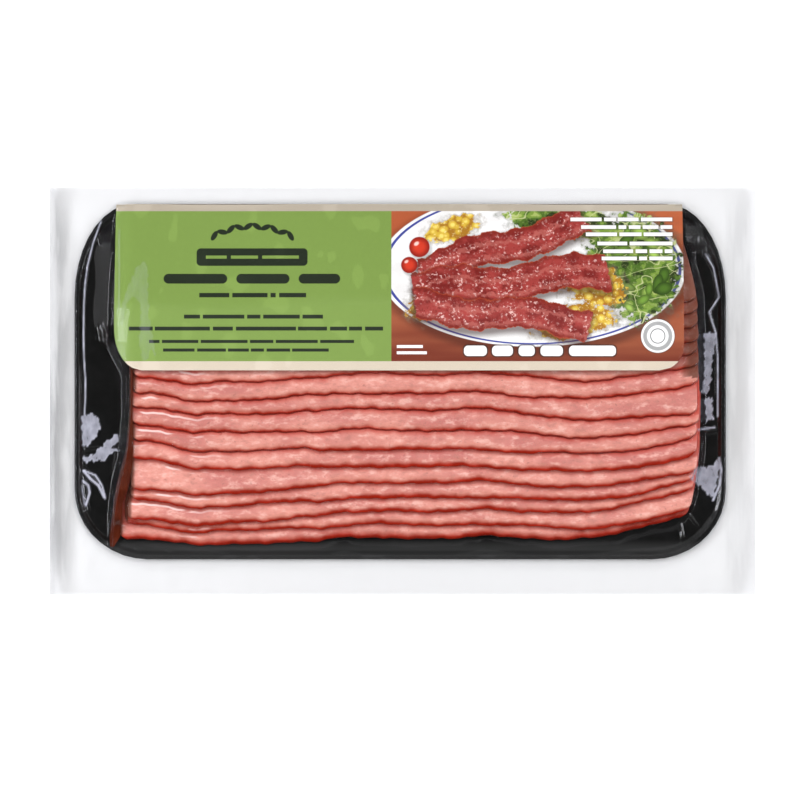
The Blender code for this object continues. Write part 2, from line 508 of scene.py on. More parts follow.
def meat_finish(index, colours):
    """Mottled pink cured meat, browned and darker towards its front edge, partly with painted shade, and
    with painted shade and painted glints in front of the next slice's edge.
    """
    look = Finish(f"meat_{index + 1:02d}")
    shift = 0.37 * index
    edge = look.attribute("edge")
    patches = look.noise(55.0, 3.0, 0.6, (0.5, 1.0, 1.0), shift)
    grain = look.noise(420.0, 3.0, 0.65, (0.55, 1.0, 1.0), shift)
    specks = look.noise(1100.0, 2.0, 0.5, (0.8, 1.0, 1.0), shift)
    ragged = look.noise(260.0, 3.0, 0.6, (0.7, 1.0, 1.0), shift)
    dull = scaled(colours.meat, 0.80, 0.66, 0.70)
    tone = look.mix(patches.rise(0.36, 0.62), dull, colours.meat)
    tone = look.mix(grain.rise(0.48, 0.72) * 0.7, tone, colours.fat)
    tone = look.mix(grain.fall(0.30, 0.48) * 0.6, tone, scaled(colours.meat, 0.68))
    tone = look.mix(specks.fall(0.26, 0.38) * 0.5, tone, scaled(colours.meat, 0.45))
    depth = edge + (ragged - 0.5) * 1.2 + (patches - 0.5) * 1.8
    warm = scaled(colours.meat, 0.75, 0.56, 0.40)
    tone = look.mix(depth.fall(0.8, 3.8) * (0.2 + patches * 0.5), tone, warm)
    # Painted shade: a soft brown darkening in front of the next slice's edge, where its shadow falls, with
    # painted glints in it near the left ends
    shade = look.attribute("shade")
    painted_shade = scaled(colours.rind, 1.8)
    tone = look.mix((shade + (ragged - 0.5) * 0.8).fall(-0.5, 2.3) * 0.7, tone, painted_shade)
    x, _, _ = look.place()
    # Painted highlights: pale glints in a thin band in front of the next slice's edge, near the left ends
    wet = look.noise(170.0, 2.0, 0.5, (0.35, 1.0, 1.0), shift).rise(0.50, 0.56) * x.fall(-95.0, -60.0)
    painted_glint = shade.rise(0.9, 1.2) * shade.fall(1.6, 2.0) * wet
    tone = look.mix(painted_glint * 0.8, tone, (0.90, 0.70, 0.66))
    paler_rind = tuple(1.5 * c + 0.005 for c in colours.rind)
    brown = look.mix(ragged.rise(0.4, 0.75), colours.rind, paler_rind)
    # A dark line along each front edge, partly the browned edge's own colour and partly painted shade. The
    # front slice's edge isn't in a shadow, so it is browned over a wider band and gets darker painted shade
    reach, dark = (3.6, 0.75) if index == 0 else (2.3, 0.25)
    tone = look.mix(depth.fall(0.5, reach), tone, brown)
    tone = look.mix(edge.fall(0.1, 0.4 * reach) * dark, tone, scaled(colours.rind, 0.4))
    bare = look.attribute("end") + (ragged - 0.5) * 4.0
    tone = look.mix(bare.fall(3.0, 8.0) * 0.85, tone, colours.ends)
    tone = look.mix((look.attribute("left") + ragged).fall(1.1, 2.5) * 0.9, tone, colours.ends)
    relief = look.bump(grain * 0.6 + specks * 0.4, 0.25 * MM, 0.55)
    return look.set(Base_Color=tone, Roughness=0.42, Specular_IOR_Level=0.15, Normal=relief)


def slice_front(index, x):
    """Y of a slice's front edge at x, with the slice's own small waves."""
    own, fine = (np.random.default_rng(seed) for seed in (100 + index, 300 + index))
    ripple = soft_waves(x, own, (0.055, 0.031, 0.019), 0.8 * MM)
    return front_edge(index, x) + kinks(x) + ripple + soft_waves(x, fine, (0.009, 0.005), 0.32 * MM)


def slice_right_bow(y):
    """How far the slices' right ends draw in away from the pack's middle."""
    return RIGHT_BOW * (y / RIGHT_BOW_REACH) ** 2


def make_slice(index, sizes, colours):
    """One slice: a wavy strip that is given its thickness and rounded edges."""
    rng = np.random.default_rng(500 + index)
    node = f"slice_{index + 1:02d}"
    low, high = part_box(node)
    right_end = high.x + slice_right_bow(0.5 * (low.y + high.y))
    row_count = len(FRONT_ROWS) + len(REST_ROWS) - 1

    def left_end(y):
        """The lowest slices' left ends draw in towards the rear, where the juice wets them."""
        if index >= DRAWN_SLICES:
            return low.x
        return low.x + DRAWN_IN * smooth((y - DRAWN_START) / DRAWN_LENGTH)

    def rows(x):
        """Y of each row of the grid at x."""
        start, end = slice_front(index, x), rear_edge(index, x)
        near = [start + depth * MM for depth in FRONT_ROWS]
        return np.stack(near + [near[-1] + (end - near[-1]) * share for share in REST_ROWS])

    def place(column, row):
        share = column / SLICE_STATIONS
        nominal = low.x + (right_end - low.x) * share
        y = rows(nominal)[row, np.arange(len(row))]
        from_edge = np.minimum(y - slice_front(index, nominal), rear_edge(index, nominal) - y)
        corner = np.clip(1 - from_edge / CORNER_ROUND, 0.0, 1.0)
        drawn_in = CORNER_ROUND * (1 - np.sqrt(1 - corner**2))
        left = left_end(y) + drawn_in
        x = left + (right_end - slice_right_bow(y) - drawn_in - left) * share
        y = rows(x)[row, np.arange(len(row))]
        return np.stack([x, y, layer_height(index - slices_ended(x, y), x, y)], axis=1)

    obj = add_grid(f"bacon_{node}", SLICE_STATIONS, row_count, place)
    add_modifier(obj, "SOLIDIFY", thickness=sizes.slice_thickness, offset=1.0, use_even_offset=False)
    round_edges(obj, sizes.edge_radius, 50)
    points = points_of(obj)
    x, y, z = points.T
    lumps = soft_waves(x, rng, (0.021, 0.013), 1.0) * soft_waves(y, rng, (0.017,), 1.0)
    # The flat underside, which lies on the tray, has no lumps
    points[:, 2] += LUMP * lumps * smooth((z - BED) / (1.0 * MM))
    set_points(obj, points)
    # Distances in millimetres from the front edge, the left end, the next slice's edge and the right end
    store(obj, "edge", (y - slice_front(index, x)) / MM)
    store(obj, "left", (x - left_end(y)) / MM)
    covered = slice_front(index + 1, x) if index + 1 < SLICES else LABEL_BOX[1].y
    store(obj, "shade", (covered - y) / MM)
    from_end = right_end - slice_right_bow(y) - x
    store(obj, "end", np.where(y > LABEL_BOX[0].y - BARE_START, from_end / MM, NO_BARE_END))
    finish_piece(obj, meat_finish(index, colours), [node])


class PACK_OT_slices(Operator):
    """Model the shingled slices of bacon"""

    bl_idname = "pack.slices"
    bl_label = "Bacon Slices"

    def execute(self, context):
        for index in range(SLICES):
            make_slice(index, context.scene.pack_sizes, context.scene.pack_colours)
        return {"FINISHED"}


def tray_finish(colours):
    """Black plastic, with a painted reflection that makes it a little paler along its front, where it shows
    through stretched film.
    """
    look = Finish("tray_plastic")
    mottle = look.noise(300.0, 2.0)
    tone = look.mix(mottle.rise(0.35, 0.7), colours.tray, scaled(colours.tray, 1.6))
    _, y, _ = look.place()
    # Painted reflection: paler along the front, where stretched film lies over the tray
    tone = look.mix(y.fall(-61.0, -57.0), tone, scaled(colours.tray, 9.0))
    relief = look.bump(look.noise(900.0, 3.0), 0.05 * MM, 0.3)
    dullness = 0.3 + mottle * 0.12
    return look.set(Base_Color=tone, Roughness=dullness, Specular_IOR_Level=0.35, Normal=relief)


class PACK_OT_tray(Operator):
    """Model the black tray with its low rim"""

    bl_idname = "pack.tray"
    bl_label = "Tray"

    def execute(self, context):
        clean_select(frame["nodes"]["tray"])
        bpy.ops.object.duplicate()
        obj = bpy.context.object
        obj.name = obj.data.name = "tray_shell"
        for key in list(obj.keys()):
            del obj[key]
        obj.parent = None
        edit(
            obj,
            (bpy.ops.mesh.remove_doubles, {"threshold": 0.01 * MM}),
            (bpy.ops.mesh.dissolve_limited, {"angle_limit": math.radians(0.5)}),
        )
        round_edges(obj, TRAY_EDGE_RADIUS, 25)
        finish_piece(obj, tray_finish(context.scene.pack_colours), ["tray"], angle=30)
        return {"FINISHED"}


def label_height(x, y):
    """Underside of the card: level over the slices, then down with them to the tray's rear rim."""
    over_top = SLICES - 1 + LABEL_SLACK - slices_ended(x, y)
    excess = over_top - LABEL_LAYERS
    layers = over_top - (excess + np.sqrt(excess**2 + LABEL_EASE)) / 2
    height = layer_height(layers, x, y) + SLICE_STEP
    overhang = np.maximum(0.0, LABEL_BEND_START - x)
    return np.maximum(height - LABEL_BEND * overhang**2, TRAY_BOX[1].z + LABEL_CLEARANCE)


class Print:
    """Draws simple shapes on a finish, in millimetres over the card."""

    EDGE = 0.12
    PICTURE_START = -4.3

    def __init__(self, look, base):
        self.look = look
        self.x, self.y, _ = look.place()
        self.tone = base
        self.panel = self.x.rise(self.PICTURE_START - 0.1, self.PICTURE_START + 0.1)
        self.mottle = look.noise(140.0, 3.0)
        self.ragged = look.noise(330.0, 4.0, 0.62)
        self.fine = look.noise(950.0, 3.0, 0.6)

    def paint(self, mask, colour):
        self.tone = self.look.mix(mask, self.tone, colour)

    def band(self, value, low, high):
        """1 between low and high."""
        return value.rise(low - self.EDGE, low + self.EDGE) * value.fall(high - self.EDGE, high + self.EDGE)

    def box(self, left, right, low, high, radius=0.0):
        across = abs(self.x - (left + right) / 2) - ((right - left) / 2 - radius)
        along = abs(self.y - (low + high) / 2) - ((high - low) / 2 - radius)
        if not radius:
            return across.most(along).fall(-self.EDGE, self.EDGE)
        outside = (across.most(0.0) ** 2.0 + along.most(0.0) ** 2.0).root()
        return outside.fall(radius - self.EDGE, radius + self.EDGE)

    def turned(self, x, y, angle):
        """Coordinates from a point, turned by an angle."""
        cos, sin = math.cos(angle), math.sin(angle)
        across, along = self.x - x, self.y - y
        return across * cos + along * sin, along * cos - across * sin

    def oval(self, x, y, wide, tall, angle=0.0):
        """Distance from the oval's middle, 1 at its edge."""
        across, along = self.turned(x, y, angle)
        return ((across / wide) ** 2.0 + (along / tall) ** 2.0).root()

    def bar_row(self, left, low, high, lengths, gap):
        """A row of plain bars of these lengths."""
        span = sum(lengths) + gap * len(lengths)
        place = 0.0
        stops = []
        for length in lengths:
            stops.append((place / span, 1.0))
            stops.append(((place + length) / span, 0.0))
            place += length + gap
        along = (self.x - left) / span
        bars = self.look.add("ShaderNodeValToRGB", {"stops": stops}, {0: along})
        return bars * (self.x.rise(left - 0.01, left + 0.01) * self.band(self.y, low, high))


# Rows of bars on the green field: left end, low and high Y, lengths and gap
FIELD_BARS = (
    (-78.2, 36.0, 37.7, (11.5, 13.5, 2.0, 10.5), 1.2),
    (-84.0, 27.8, 29.3, (6.0, 16.0, 5.0, 14.0, 8.0), 1.1),
    (-105.2, 23.2, 24.7, (9.0, 21.0, 8.0, 23.0, 11.0, 6.5, 5.0, 7.0), 1.0),
    (-97.4, 18.4, 19.6, (4.0, 14.0, 18.0, 9.0, 16.0, 13.0), 0.9),
    (-92.0, 15.1, 16.3, (12.0, 11.0, 8.0, 5.0, 9.0, 14.0), 0.9),
)
# Pale bars at the picture's upper right: top Y and lengths, which end at the same X
CORNER_BARS = (
    (67.0, (12.0, 4.5, 8.0, 12.0)),
    (64.0, (13.5, 3.0, 4.5, 6.0, 4.5)),
    (61.2, (12.0, 8.5, 11.0)),
    (57.6, (11.5, 16.5)),
    (54.6, (11.5, 4.5, 5.0, 3.0)),
    (51.8, (13.5, 3.0, 9.0)),
)
# Broad pale bars along the picture's front: left and right ends
BROAD_BARS = ((23.6, 32.4), (34.4, 42.4), (44.6, 50.8), (53.0, 61.6), (64.0, 82.0))
BAR_WHITE = (0.90, 0.89, 0.88)
# Heaps of egg: middle, half length, half width, turn
EGG_HEAPS = (
    (72.0, 42.0, 14.0, 9.0, -0.4),
    (66.0, 27.0, 16.0, 6.5, 0.2),
    (10.0, 34.0, 9.0, 6.5, 0.5),
    (19.0, 62.5, 11.0, 4.6, 0.3),
)
# Fried rashers: middle, turn, half length, half width
RASHERS = (
    (38.0, 55.5, 0.30, 34.0, 6.3),
    (41.5, 42.5, 0.10, 38.0, 6.9),
    (38.5, 29.5, -0.10, 34.0, 6.0),
)


def label_print(look, colours):
    """The card's print: a green field with rows of bars, and a breakfast picture beside it."""
    sheet = Print(look, colours.field)
    grain = look.noise(700.0, 2.0)
    sheet.paint(grain.rise(0.4, 0.8) * 0.12, scaled(colours.field, 1.25))
    garland(sheet, colours.ink)
    # A badge, and three wide bars under it
    sheet.paint(sheet.box(-79.4, -36.6, 48.2, 55.0, 1.6), colours.ink)
    sheet.paint(sheet.bar_row(-75.8, 51.0, 52.2, (8.0, 10.5, 14.0), 1.6), colours.field)
    for left, right in ((-92.0, -67.5), (-64.0, -43.5), (-40.0, -24.0)):
        sheet.paint(sheet.box(left, right, 41.3, 45.1, 1.9), colours.ink)
    for left, low, high, lengths, gap in FIELD_BARS:
        sheet.paint(sheet.bar_row(left, low, high, lengths, gap), colours.ink)
    # The picture's parts, from the lowest up
    for part in (board, dish, salad, scrambled_egg, rashers, tomatoes, picture_bars, ringed_spot):
        part(sheet)
    # Borders; the rear one is darker, painted shade where the card slopes down at the rear
    sheet.paint(sheet.y.rise(69.4, 69.6), scaled(colours.cream, 0.72))
    sheet.paint(sheet.y.fall(11.3, 11.5), colours.cream)
    return sheet.tone


def garland(sheet, ink):
    """Ten leaves on an arc, turned to either side of it by turns."""
    x, y, radius, tilt = -58.0, 32.6, 31.0, 0.55
    for place in range(10):
        turn = math.radians(61.5 + 6.3 * place)
        across = turn + math.pi / 2 + (tilt if place % 2 else -tilt)
        leaf = sheet.oval(x + radius * math.cos(turn), y + radius * math.sin(turn), 2.1, 1.0, across)
        sheet.paint(leaf.fall(0.9, 1.1), ink)


def board(sheet):
    """The picture's wooden board, darker towards its front."""
    look = sheet.look
    streaks = look.noise(60.0, 3.0, 0.6, (0.12, 1.0, 1.0))
    wood = look.mix(sheet.y.rise(12.0, 62.0), (0.17, 0.026, 0.011), (0.42, 0.095, 0.034))
    wood = look.mix(streaks.rise(0.35, 0.7) * 0.35, wood, (0.60, 0.20, 0.085))
    sheet.paint(sheet.panel, wood)


def dish(sheet):
    """A white oval dish with a blue line round its rim, and its shadow."""
    look = sheet.look
    shadow = sheet.oval(51.0, 45.5, 61.0, 31.5).fall(0.96, 1.06)
    sheet.paint(shadow * 0.6 * sheet.panel, (0.05, 0.008, 0.004))
    oval = sheet.oval(50.0, 47.0, 59.0, 30.0)
    white = look.mix(sheet.mottle.rise(0.3, 0.7), (0.80, 0.785, 0.77), (0.89, 0.88, 0.865))
    white = look.mix(sheet.band(oval, 0.86, 0.94) * 0.4, white, (0.60, 0.585, 0.57))
    sheet.paint(oval.fall(0.995, 1.005) * sheet.panel, white)
    line = oval.rise(0.952, 0.956) * oval.fall(0.972, 0.976)
    sheet.paint(line * sheet.panel, (0.045, 0.06, 0.30))


def scrambled_egg(sheet):
    """Four heaps of yellow clumps."""
    look = sheet.look
    heaps = [sheet.oval(*heap) for heap in EGG_HEAPS]
    egg = heaps[0]
    for heap in heaps[1:]:
        egg = egg.least(heap)
    egg = egg + (sheet.ragged - 0.5) * 1.3
    clumps = look.cells(330.0)
    yellow = look.mix(clumps.rise(0.15, 0.42), (0.87, 0.70, 0.17), (0.66, 0.44, 0.045))
    yellow = look.mix(clumps.rise(0.42, 0.68) * 0.9, yellow, (0.36, 0.15, 0.012))
    yellow = look.mix(sheet.fine.rise(0.56, 0.68) * 0.7, yellow, (0.92, 0.84, 0.42))
    yellow = look.mix(sheet.fine.fall(0.28, 0.36) * 0.8, yellow, (0.50, 0.04, 0.01))
    sheet.paint(egg.fall(0.96, 1.3) * 0.5, (0.20, 0.16, 0.10))
    sheet.paint(egg.fall(0.93, 1.0), yellow)


def rashers(sheet):
    """Fried rashers with wavy, browned edges, pale streaks and dark specks."""
    look, ragged, fine, mottle = sheet.look, sheet.ragged, sheet.fine, sheet.mottle
    for number, (x, y, turn, half, wide) in enumerate(RASHERS):
        along, across = sheet.turned(x, y, turn)
        bent = across + (along * 0.14 + 1.7 * number).sine() * 1.5
        reach = abs(bent) + (ragged - 0.5) * 3.2 + (along * 0.6 + 2.0 * number).sine() * 0.45
        ends = abs(along) + (ragged - 0.5) * 4.0 + bent * (0.25 - 0.2 * number)
        streak = (bent * 1.1 + (ragged - 0.5) * 9.0).sine()
        tone = look.mix(mottle.rise(0.36, 0.62), (0.19, 0.013, 0.011), (0.36, 0.046, 0.039))
        tone = look.mix(streak.rise(0.1, 0.9) * 0.55, tone, (0.50, 0.14, 0.115))
        tone = look.mix(fine.rise(0.54, 0.64) * ragged.rise(0.44, 0.58), tone, (0.77, 0.48, 0.44))
        tone = look.mix(fine.fall(0.32, 0.42) * 0.7, tone, (0.13, 0.008, 0.006))
        tone = look.mix(reach.rise(wide - 2.6, wide - 0.3) * 0.85, tone, (0.20, 0.014, 0.007))
        tone = look.mix(reach.rise(wide - 0.6, wide - 0.1) * 0.7, tone, (0.42, 0.07, 0.025))
        shadow = abs(bent + 1.5).fall(wide - 1.0, wide + 2.6) * ends.fall(half - 0.5, half + 2.5)
        sheet.paint(shadow * 0.75 * sheet.panel, (0.05, 0.014, 0.009))
        shape = reach.fall(wide - 0.2, wide + 0.1) * ends.fall(half - 0.3, half + 0.1)
        sheet.paint(shape * sheet.panel, tone)


def tomatoes(sheet):
    """Two small tomatoes, each with a shadow and a highlight."""
    for x, y, size in ((6.5, 55.5, 4.0), (2.6, 48.5, 3.2)):
        fruit = sheet.oval(x, y, size, size)
        shadow = sheet.oval(x + 0.8, y - 0.9, size, size).fall(0.9, 1.25)
        sheet.paint(shadow * 0.4, (0.05, 0.03, 0.02))
        red = sheet.look.mix(fruit.rise(0.3, 1.0), (0.62, 0.045, 0.018), (0.28, 0.012, 0.006))
        sheet.paint(fruit.fall(0.95, 1.03), red)
        highlight = sheet.oval(x - 1.1, y + 1.3, size * 0.32, size * 0.22, 0.6).fall(0.4, 1.1)
        sheet.paint(highlight * 0.8, (0.95, 0.7, 0.62))


def picture_bars(sheet):
    """Plain light bars over a faint shade."""
    for high, lengths in CORNER_BARS:
        left = 105.0 - sum(lengths) - 0.9 * len(lengths)
        sheet.paint(sheet.box(left - 0.4, 104.6, high - 1.8, high + 0.3) * 0.35, (0.03, 0.02, 0.01))
        sheet.paint(sheet.bar_row(left, high - 1.4, high, lengths, 0.9), BAR_WHITE)
    for left, right in BROAD_BARS:
        sheet.paint(sheet.box(left - 0.5, right + 0.5, 12.9, 17.9, 1.8) * 0.7, (0.03, 0.015, 0.01))
        sheet.paint(sheet.box(left, right, 13.4, 17.4, 1.6), BAR_WHITE)
    sheet.paint(sheet.bar_row(-2.2, 16.5, 17.6, (10.0,), 0.5), BAR_WHITE)
    sheet.paint(sheet.bar_row(-2.2, 14.1, 15.2, (11.5,), 0.5), BAR_WHITE)


def ringed_spot(sheet):
    """A plain white round with rings."""
    radius = 6.5
    spot = sheet.oval(98.1, 21.1, radius, radius)
    sheet.paint(spot.fall(1.0, 1.06) * 0.6, (0.05, 0.02, 0.015))
    sheet.paint(spot.fall(0.97, 1.01), (0.86, 0.86, 0.85))
    sheet.paint(spot.rise(0.62, 0.66) * spot.fall(0.84, 0.88) * 0.6, (0.05, 0.05, 0.05))
    sheet.paint(sheet.band(spot * radius, 2.6, 2.9), (0.04, 0.04, 0.04))


def salad(sheet):
    """A heap of small leaves with thin pale stems, at the dish's right."""
    look, ragged, fine, panel = sheet.look, sheet.ragged, sheet.fine, sheet.panel
    heap = sheet.oval(89.0, 48.0, 18.0, 21.0, 0.25).least(sheet.oval(62.0, 65.5, 22.0, 7.0, -0.1))
    heap = heap + (ragged - 0.5) * 1.1
    leaves = look.noise(230.0, 2.0, 0.45, shift=0.3)
    stems = abs(look.noise(95.0, 2.0, 0.4, shift=0.8) - 0.5)
    others = abs(look.noise(120.0, 1.0, 0.3, (0.6, 1.2, 1.0), 0.1) - 0.48)
    green = look.mix(leaves.rise(0.40, 0.46), (0.018, 0.035, 0.004), (0.075, 0.15, 0.018))
    green = look.mix(leaves.rise(0.52, 0.56), green, (0.19, 0.30, 0.045))
    green = look.mix(leaves.rise(0.62, 0.66) * 0.8, green, (0.42, 0.50, 0.14))
    green = look.mix(fine.rise(0.5, 0.7) * 0.35, green, (0.40, 0.45, 0.18))
    pale = stems.fall(0.006, 0.013).most(others.fall(0.005, 0.011))
    sheet.paint(heap.fall(0.98, 1.25) * 0.4 * panel, (0.10, 0.10, 0.07))
    sheet.paint(heap.fall(0.93, 1.0) * panel, look.mix(pale * 0.85, green, (0.52, 0.56, 0.27)))
    rng = random.Random(8)
    for _ in range(16):
        turn = rng.uniform(-2.2, 2.2)
        x = 89.0 + rng.uniform(0.35, 0.95) * 17.0 * math.cos(turn)
        y = 47.0 + rng.uniform(0.35, 0.95) * 20.0 * math.sin(turn)
        size = rng.uniform(2.2, 4.2)
        leaf = sheet.oval(x, y, size, size * rng.uniform(0.45, 0.7), rng.uniform(0.0, math.pi))
        tone = rng.choice(((0.05, 0.11, 0.012), (0.12, 0.22, 0.03), (0.24, 0.36, 0.07)))
        shaded = look.mix(leaf.rise(0.2, 1.0), scaled(tone, 1.5), scaled(tone, 0.6))
        sheet.paint((leaf + (ragged - 0.5) * 0.5).fall(0.92, 1.0) * panel, shaded)


class PACK_OT_label(Operator):
    """Model the printed card that lies over the rear of the slices"""

    bl_idname = "pack.label"
    bl_label = "Printed Card"

    def execute(self, context):
        sizes, colours = context.scene.pack_sizes, context.scene.pack_colours
        low, high = LABEL_BOX
        columns, rows = LABEL_GRID

        def end_at(y, end, corner_size, inward):
            """X of one end of the card at y, with its front corner rounded."""
            reach, depth = corner_size
            corner = np.clip(1 - (y - low.y) / depth, 0.0, 1.0)
            return end + inward * reach * (1 - np.sqrt(1 - corner**2))

        def place(column, row):
            y = low.y + (high.y - low.y) * row / rows
            left = end_at(y, low.x, LABEL_LEFT_CORNER, 1)
            right = end_at(y, high.x, LABEL_RIGHT_CORNER, -1)
            x = left + (right - left) * column / columns
            return np.stack([x, y, label_height(x, y)], axis=1)

        obj = add_grid("label_card", columns, rows, place)
        add_modifier(obj, "SOLIDIFY", thickness=sizes.card_thickness, offset=1.0)
        look = Finish("card_print")
        relief = look.bump(look.noise(500.0, 2.0), 0.06 * MM, 0.2)
        colour = label_print(look, colours)
        material = look.set(Base_Color=colour, Roughness=0.42, Coat_Weight=0.05, Normal=relief)
        finish_piece(obj, material, ["label"])
        return {"FINISHED"}


def film_lift(x, y):
    """How far the sealed margin curls up outside the tray, as in the solids."""
    half_length, half_width = FILM_BOX[1].x, FILM_BOX[1].y
    left, right = TRAY_BOX[0].x, TRAY_BOX[1].x
    front, rear = TRAY_BOX[0].y, TRAY_BOX[1].y
    out_x = np.maximum((left - x) / (half_length + left), (x - right) / (half_length - right))
    out_y = np.maximum((front - y) / (half_width + front), (y - rear) / (half_width - rear))
    along = 0.75 + 0.25 * np.sin(5.0 * y / half_width + np.where(x > 0, 1.1, 0.2))
    across = 0.55 + 0.2 * np.sin(6.0 * x / half_length + np.where(y > 0, 0.7, 2.0))
    return FILM_CURL * (smooth(out_x) * along + smooth(out_y) * across)


# The even grid on which the film settles: its step, and the rounds of drawing down
FILM_PITCH = 0.5 * MM
FILM_ROUNDS = 160
FILM_CEILING = 100.0 * MM
FRONT_BAND_PULL = 0.006 * MM
# The film's own grid: where its steps change, and the steps between those places
FILM_BREAKS_X = (FILM_BOX[0].x, -104.0 * MM, -62.0 * MM, 105.0 * MM, FILM_BOX[1].x)
FILM_STEPS_X = (0.35 * MM, 0.5 * MM, 1.8 * MM, 0.35 * MM)
FILM_BREAKS_Y = (FILM_BOX[0].y, -66.0 * MM, 70.0 * MM, FILM_BOX[1].y)
FILM_STEPS_Y = (1.0 * MM, 0.55 * MM, 1.0 * MM)
FILM_BASE_GRID = (40, 24)
# Steepness of the ripples, their share where the film is loose, and the wet bumps' number and steepness
RIPPLE_SLOPE = 0.022
LOOSE_RIPPLES = 0.6
BUBBLES = 30
BUBBLE_SLOPE = 0.6
# Beyond these the film lies loose over the tray's floor
LOOSE_ENDS = (-105.0 * MM, 107.5 * MM)
# The tray's rounded corners: their reach along X and along Y
FRONT_CORNER = (28.5 * MM, 27.0 * MM)
REAR_CORNER = (23.0 * MM, 36.0 * MM)
# What the film is drawn down over
CONTENTS = ("bacon_slice_", "tray_shell", "label_card", "juice_")
# Flat faces of the creased film: from and to X, from and to Y, slope towards +X, raggedness of its ends
FACETS = (
    (-119.4, -111.8, 14.0, 63.0, 0.225, 6.0),
    (108.5, 119.8, 49.0, 69.5, -0.24, 5.0),
)
# Soft painted glare on the film, pale patches that stand in for reflections of the lights: strength and
# outline, in millimetres
GLARE = (
    (
        0.36,
        (
            (-124.3, -10.0), (-123.0, -9.1), (-120.7, -8.6), (-118.3, -10.0), (-117.0, -12.2),
            (-117.0, -14.9), (-118.9, -18.0), (-120.3, -19.7), (-122.1, -21.5), (-123.9, -21.5),
        ),
    ),
    (
        0.36,
        (
            (-123.9, -25.9), (-119.8, -24.6), (-117.2, -22.0), (-115.4, -20.2), (-113.2, -18.4),
            (-110.1, -16.6), (-109.4, -18.0), (-110.5, -19.7), (-111.0, -21.3), (-114.1, -21.8),
            (-109.6, -22.7), (-114.1, -25.1), (-115.0, -26.9), (-119.8, -27.1), (-123.4, -27.8),
        ),
    ),
    (
        0.26,
        (
            (116.4, 22.5), (121.2, 22.5), (121.2, 18.2), (119.8, 12.9), (119.5, 4.2),
            (118.1, -1.0), (115.5, -1.0), (116.8, 5.9), (116.8, 19.9),
        ),
    ),
    (0.30, ((116.8, -2.8), (119.8, -2.8), (120.3, -10.6), (117.7, -11.9))),
    (
        0.30,
        (
            (110.7, -33.3), (112.5, -29.8), (116.4, -29.4), (119.8, -29.0), (122.9, -25.1), (122.5, -30.7),
            (121.6, -35.1), (120.3, -41.2), (118.1, -40.3), (115.5, -36.8), (112.0, -35.1),
        ),
    ),
    (
        0.05,
        (
            (-99.6, 50.2), (-98.2, 46.9), (-97.7, 32.8), (-96.3, 30.6), (-96.9, 24.1), (-95.0, 16.5),
            (-95.3, 11.0), (-97.4, 9.4), (-99.9, 11.6), (-101.3, 19.2), (-100.4, 32.8), (-103.4, 36.6),
            (-105.6, 34.5), (-107.8, 24.6), (-108.6, 28.5), (-107.2, 35.5), (-104.5, 43.1), (-102.3, 47.5),
        ),
    ),
)
# Painted bright lines along the film's folds, drawn highlights: strength, half width and points, in
# millimetres
GLINTS = (
    (0.35, 0.28, ((-116.7, 65.4), (-119.8, 57.0), (-121.8, 48.8), (-122.8, 41.5), (-123.2, 35.2))),
    (
        0.45,
        0.26,
        ((-123.2, 35.2), (-123.4, 22.0), (-123.2, 12.0), (-122.7, 4.3), (-122.8, -4.0), (-123.0, -8.9)),
    ),
    (0.5, 0.4, ((-123.4, -30.9), (-120.7, -34.0), (-117.6, -36.6), (-115.4, -41.1))),
    (0.45, 0.3, ((-123.0, -30.9), (-118.9, -32.6), (-116.3, -36.6), (-115.0, -41.5))),
    (0.45, 0.4, ((-123.6, -34.8), (-121.6, -36.6), (-121.0, -39.3), (-122.5, -44.2))),
    (0.3, 0.25, ((-124.1, -36.6), (-123.4, -41.1), (-123.0, -44.2))),
    (0.35, 0.35, ((113.8, -15.0), (120.7, -14.1))),
    (0.3, 0.3, ((117.2, 53.0), (120.3, 47.8), (122.5, 36.4), (118.6, 30.4), (121.2, 22.5), (122.0, 12.9))),
    (0.3, 0.3, ((122.0, 12.9), (122.0, -9.7))),
    (0.35, 0.4, ((122.5, -25.9), (123.3, -30.6), (122.7, -36.4), (120.2, -42.2))),
    (0.08, 0.3, ((-109.4, 62.0), (-109.2, 45.0), (-109.0, 31.0))),
)
# How far the outlines of the painted glare wander, in millimetres
GLARE_RAG = 0.28
